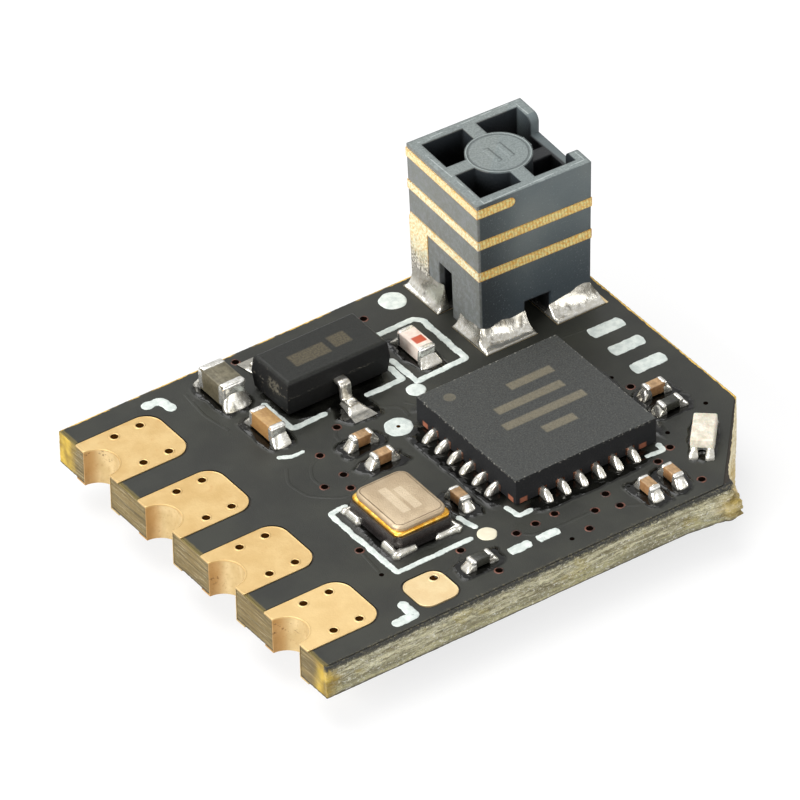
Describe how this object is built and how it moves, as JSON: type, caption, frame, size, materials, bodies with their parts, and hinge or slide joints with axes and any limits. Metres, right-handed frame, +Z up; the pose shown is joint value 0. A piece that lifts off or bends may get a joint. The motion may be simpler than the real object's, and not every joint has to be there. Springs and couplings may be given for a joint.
{
  "type": "radio receiver module",
  "caption": "Tiny black circuit board with half-round plated edge notches, a radio chip, a regulator, a crystal and a square moulded tower antenna with a plated helix.",
  "frame": {"origin": "centre of the microcontroller's flat outer face, on which the module rests, under the centre of the board", "axes": "+X from the notched edge to the end with the cut corner, +Y from the snapped edge to the back edge, +Z up through the board to the antenna"},
  "size_m": [0.0136, 0.0112, 0.0059],
  "materials": {
    "laminate": "cut glass-fibre edge",
    "solder_mask": "satin",
    "gold_plating": "satin gold on copper",
    "print": "matt",
    "package_resin": "fine grain",
    "regulator_resin": "satin",
    "lead_frame": "cut copper",
    "tinned_lead": "satin tin",
    "solder": "bright",
    "tray_ceramic": "glossy",
    "seal_gold": "bright",
    "lid_metal": "satin",
    "antenna_moulding": "matt with fine specks",
    "helix_plating": "grainy gold",
    "supply_ceramic": "satin",
    "input_ceramic": "satin",
    "filter_ceramic": "satin",
    "capacitor_ceramic": "satin",
    "resistor_film": "satin",
    "end_tin": "satin tin",
    "lamp_lens": "satin",
    "lamp_base": "matt"
  },
  "bodies": {
    "root": {"antenna_body": "antenna_moulding", "antenna_filter_body": "filter_ceramic", "antenna_filter_ends": "end_tin", "antenna_lands": "gold_plating", "antenna_solder": "solder", "antenna_trace": "helix_plating", "capacitor_1_body": "capacitor_ceramic", "capacitor_1_ends": "end_tin", "capacitor_2_body": "capacitor_ceramic", "capacitor_2_ends": "end_tin", "capacitor_3_body": "capacitor_ceramic", "capacitor_3_ends": "end_tin", "capacitor_4_body": "capacitor_ceramic", "capacitor_4_ends": "end_tin", "capacitor_5_body": "capacitor_ceramic", "capacitor_5_ends": "end_tin", "capacitor_6_body": "capacitor_ceramic", "capacitor_6_ends": "end_tin", "chip_solder": "solder", "circuit_board": "laminate", "controller_body": "package_resin", "controller_crystal_lid": "lid_metal", "controller_crystal_seal_ring": "seal_gold", "controller_crystal_solder": "solder", "controller_crystal_tray": "tray_ceramic", "controller_leads": "lead_frame", "controller_solder": "solder", "edge_pad_1": "gold_plating", "edge_pad_2": "gold_plating", "edge_pad_3": "gold_plating", "edge_pad_4": "gold_plating", "indicator_lamp_base": "lamp_base", "indicator_lamp_ends": "end_tin", "indicator_lamp_lens": "lamp_lens", "input_capacitor_body": "input_ceramic", "input_capacitor_ends": "end_tin", "radio_body": "package_resin", "radio_crystal_lid": "lid_metal", "radio_crystal_seal_ring": "seal_gold", "radio_crystal_solder": "solder", "radio_crystal_tray": "tray_ceramic", "radio_leads": "lead_frame", "radio_solder": "solder", "regulator_body": "regulator_resin", "regulator_leads": "tinned_lead", "regulator_solder": "solder", "resistor_1_body": "resistor_film", "resistor_1_ends": "end_tin", "resistor_2_body": "resistor_film", "resistor_2_ends": "end_tin", "silkscreen_top": "print", "solder_mask_bottom": "solder_mask", "solder_mask_top": "solder_mask", "supply_capacitor_body": "supply_ceramic", "supply_capacitor_ends": "end_tin", "test_pad": "gold_plating", "underside_capacitors_body": "capacitor_ceramic", "underside_capacitors_ends": "end_tin"}
  },
  "joints": []
}
